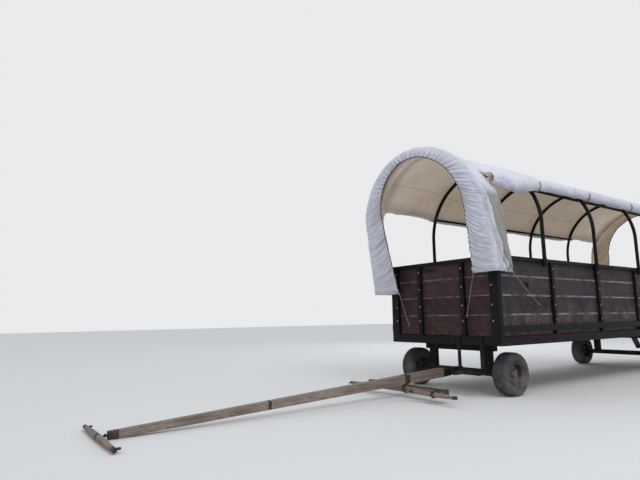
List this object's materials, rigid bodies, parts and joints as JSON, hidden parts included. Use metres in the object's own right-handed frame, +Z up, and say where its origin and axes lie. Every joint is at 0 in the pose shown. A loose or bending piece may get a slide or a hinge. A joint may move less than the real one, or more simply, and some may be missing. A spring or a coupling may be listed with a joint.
{
  "type": "covered wagon",
  "caption": "Long plank-sided ride wagon under a white canvas top on steel hoops, with rolled-up sides, small rubber tyres, steered front wheels, draught pole and rear gate.",
  "frame": {"origin": "middle of the wagon's overall box, on the ground", "axes": "+X to the rear, -X the way it is drawn, -Y its left side, +Z up"},
  "size_m": [10.8177, 2.0761, 3.1913],
  "materials": {
    "black_steel": "black paint, worn satin",
    "stained_plank": "dark reddish brown stain, weathered",
    "floor_wood": "bare worn planks",
    "pole_wood": "oiled brown wood",
    "weathered_wood": "grey weathered wood",
    "canvas": "off-white cotton duck",
    "tyre": "dusty grey rubber",
    "rim_paint": "dull grey paint",
    "forged_iron": "dark forged iron"
  },
  "bodies": {
    "wagon": {"side_sills": "black_steel", "end_sills": "black_steel", "main_rails": "black_steel", "cross_members": "black_steel", "floor_planks": "floor_wood", "side_boards_left": "stained_plank", "side_boards_right": "stained_plank", "front_boards": "stained_plank", "rear_boards": "stained_plank", "side_posts": "black_steel", "front_posts": "black_steel", "rear_posts": "black_steel", "side_rails": "black_steel", "end_rails": "black_steel", "side_bands": "black_steel", "front_hoop": "black_steel", "inner_hoops": "black_steel", "rear_hoop": "black_steel", "purlins": "black_steel", "canvas_top": "canvas", "front_hood": "canvas", "front_hood_lip": "canvas", "rear_hood": "canvas", "rear_hood_lip": "canvas", "bench_planks": "stained_plank", "bench_brackets": "black_steel", "driver_seat": "stained_plank", "driver_seat_legs": "black_steel", "front_bolster": "black_steel", "rear_bolster": "black_steel", "front_axle": "black_steel", "rear_axle": "black_steel", "front_step": "black_steel", "rear_steps": "black_steel", "gate_hinges": "forged_iron"},
    "steering_head": {"steering_head": "black_steel"},
    "knuckle_left": {"knuckle_left": "black_steel"},
    "knuckle_right": {"knuckle_right": "black_steel"},
    "tie_rod_left": {"tie_rod_left": "black_steel"},
    "tie_rod_right": {"tie_rod_right": "black_steel"},
    "wheel_front_left": {"rim_front_left": "rim_paint", "tyre_front_left": "tyre"},
    "wheel_front_right": {"rim_front_right": "rim_paint", "tyre_front_right": "tyre"},
    "wheel_rear_left": {"rim_rear_left": "rim_paint", "tyre_rear_left": "tyre"},
    "wheel_rear_right": {"rim_rear_right": "rim_paint", "tyre_rear_right": "tyre"},
    "pole": {"pole": "pole_wood", "pole_iron": "forged_iron"},
    "evener": {"evener": "weathered_wood"},
    "singletree_left": {"singletree_left": "weathered_wood"},
    "singletree_right": {"singletree_right": "weathered_wood"},
    "neck_yoke": {"neck_yoke": "pole_wood"},
    "gate": {"gate_boards": "stained_plank", "gate_straps": "forged_iron"}
  },
  "joints": [
    {"name": "pole_swing", "type": "hinge", "parent": "wagon", "child": "steering_head", "pos_m": [-0.93663, 0, 0.25], "axis": [0, 0, 1], "range_deg": [-30, 30]},
    {"name": "knuckle_left_turn", "type": "hinge", "parent": "wagon", "child": "knuckle_left", "pos_m": [-0.81663, -0.59, 0.25], "axis": [0, 0, 1], "range_deg": [-30.1, 30.1]},
    {"name": "tie_rod_left_pivot", "type": "hinge", "parent": "steering_head", "child": "tie_rod_left", "pos_m": [-1.04663, -0.03, 0.25], "axis": [0, 0, 1], "range_deg": [-30.1, 30.1]},
    {"name": "wheel_front_left_spin", "type": "hinge", "parent": "knuckle_left", "child": "wheel_front_left", "pos_m": [-0.81663, -0.765, 0.26], "axis": [0, 1, 0], "continuous": true},
    {"name": "wheel_rear_left_spin", "type": "hinge", "parent": "wagon", "child": "wheel_rear_left", "pos_m": [3.83337, -0.765, 0.26], "axis": [0, 1, 0], "continuous": true},
    {"name": "knuckle_right_turn", "type": "hinge", "parent": "wagon", "child": "knuckle_right", "pos_m": [-0.81663, 0.59, 0.25], "axis": [0, 0, 1], "range_deg": [-30.1, 30.1]},
    {"name": "tie_rod_right_pivot", "type": "hinge", "parent": "steering_head", "child": "tie_rod_right", "pos_m": [-1.04663, 0.03, 0.25], "axis": [0, 0, 1], "range_deg": [-30.1, 30.1]},
    {"name": "wheel_front_right_spin", "type": "hinge", "parent": "knuckle_right", "child": "wheel_front_right", "pos_m": [-0.81663, 0.765, 0.26], "axis": [0, 1, 0], "continuous": true},
    {"name": "wheel_rear_right_spin", "type": "hinge", "parent": "wagon", "child": "wheel_rear_right", "pos_m": [3.83337, 0.765, 0.26], "axis": [0, 1, 0], "continuous": true},
    {"name": "pole_lift", "type": "hinge", "parent": "steering_head", "child": "pole", "pos_m": [-1.16163, 0, 0.25], "axis": [0, 1, 0], "range_deg": [0, 25]},
    {"name": "evener_swing", "type": "hinge", "parent": "pole", "child": "evener", "pos_m": [-1.86031, 0, 0.11101], "axis": [-0.0523, 0, 0.9986], "range_deg": [-12, 12]},
    {"name": "singletree_left_swing", "type": "hinge", "parent": "evener", "child": "singletree_left", "pos_m": [-1.99014, -0.56, 0.10421], "axis": [-0.0523, 0, 0.9986], "range_deg": [-12, 12]},
    {"name": "singletree_right_swing", "type": "hinge", "parent": "evener", "child": "singletree_right", "pos_m": [-1.99014, 0.56, 0.10421], "axis": [-0.0523, 0, 0.9986], "range_deg": [-12, 12]},
    {"name": "neck_yoke_swing", "type": "hinge", "parent": "pole", "child": "neck_yoke", "pos_m": [-5.32592, 0, 0.03191], "axis": [-0.0523, 0, 0.9986], "range_deg": [-15, 15]},
    {"name": "gate_hinge", "type": "hinge", "parent": "wagon", "child": "gate", "pos_m": [4.94537, 0.35, 0.9], "axis": [0, 0, 1], "range_deg": [0, 100]}
  ],
  "couplings": [
    {"joint": "knuckle_left_turn", "follows": "pole_swing", "ratio": 1},
    {"joint": "tie_rod_left_pivot", "follows": "pole_swing", "ratio": -1},
    {"joint": "knuckle_right_turn", "follows": "pole_swing", "ratio": 1},
    {"joint": "tie_rod_right_pivot", "follows": "pole_swing", "ratio": -1}
  ]
}
